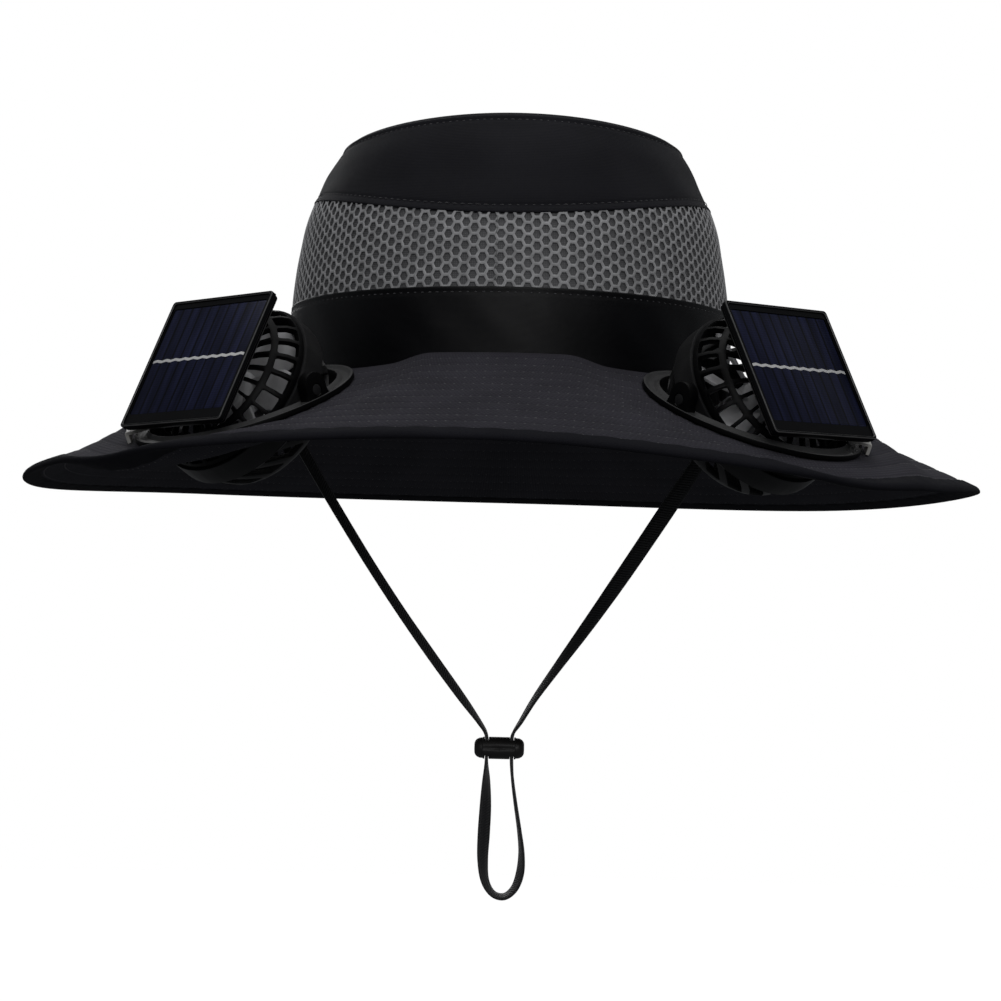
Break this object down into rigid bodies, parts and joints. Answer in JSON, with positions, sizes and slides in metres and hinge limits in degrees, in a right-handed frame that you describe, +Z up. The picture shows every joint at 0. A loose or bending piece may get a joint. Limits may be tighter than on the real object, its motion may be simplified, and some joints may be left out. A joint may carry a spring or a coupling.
{
  "type": "solar fan hat",
  "caption": "Wide-brimmed dark sun hat with a honeycomb mesh crown panel, a tilting solar fan on each side of the brim and a flat chin strap with a toggle.",
  "frame": {"origin": "middle of the head opening, at the height of the seam between the crown and the brim", "axes": "+Z up through the crown, the front of the hat faces -Y, +X to the viewer's right"},
  "size_m": [0.3684, 0.4, 0.296],
  "materials": {
    "dark_cloth": "matt closely woven polyester, near black",
    "honeycomb_mesh": "grey honeycomb mesh cloth",
    "band_cloth": "smooth black woven band",
    "brim_cloth": "quilted black woven cloth with rows of stitching",
    "hem_cloth": "smooth black bound edge",
    "strap_webbing": "flat black woven webbing",
    "lock_plastic": "black satin plastic",
    "base_plastic": "black moulded plastic, half gloss",
    "tab_plastic": "light grey plastic",
    "cage_plastic": "black glossy plastic",
    "motor_metal": "plain steel can",
    "impeller_plastic": "mid grey satin plastic",
    "panel_plastic": "black glossy plastic",
    "solar_cells": "deep navy cell strips under clear resin, one light conductor"
  },
  "bodies": {
    "root": {"crown_tip": "dark_cloth", "crown_upper": "dark_cloth", "crown_mesh": "honeycomb_mesh", "crown_band": "band_cloth", "brim": "brim_cloth", "brim_edge": "hem_cloth", "left_base_ring": "base_plastic", "left_clamp_ring": "base_plastic", "left_base_tab": "tab_plastic", "right_base_ring": "base_plastic", "right_clamp_ring": "base_plastic", "right_base_tab": "tab_plastic", "chin_strap": "strap_webbing", "cord_lock": "lock_plastic"},
    "left_head": {"left_front_cage": "cage_plastic", "left_rear_cage": "cage_plastic", "left_motor": "motor_metal", "left_panel_neck": "cage_plastic", "left_panel_frame": "panel_plastic", "left_solar_cells": "solar_cells"},
    "left_impeller": {"left_impeller": "impeller_plastic"},
    "right_head": {"right_front_cage": "cage_plastic", "right_rear_cage": "cage_plastic", "right_motor": "motor_metal", "right_panel_neck": "cage_plastic", "right_panel_frame": "panel_plastic", "right_solar_cells": "solar_cells"},
    "right_impeller": {"right_impeller": "impeller_plastic"}
  },
  "joints": [
    {"name": "left_head_tilt", "type": "hinge", "parent": "root", "child": "left_head", "pos_m": [-0.09224, -0.0972, -0.0172], "axis": [-0.7573, 0.6527, -0.0213], "range_deg": [-1, 65]},
    {"name": "left_impeller_spin", "type": "hinge", "parent": "left_head", "child": "left_impeller", "pos_m": [-0.09224, -0.0972, -0.0172], "axis": [-0.5844, -0.6627, 0.4683], "continuous": true},
    {"name": "right_head_tilt", "type": "hinge", "parent": "root", "child": "right_head", "pos_m": [0.09224, -0.0972, -0.0172], "axis": [-0.7041, -0.7099, -0.0135], "range_deg": [-1, 65]},
    {"name": "right_impeller_spin", "type": "hinge", "parent": "right_head", "child": "right_impeller", "pos_m": [0.09224, -0.0972, -0.0172], "axis": [0.623, -0.6268, 0.4681], "continuous": true}
  ]
}
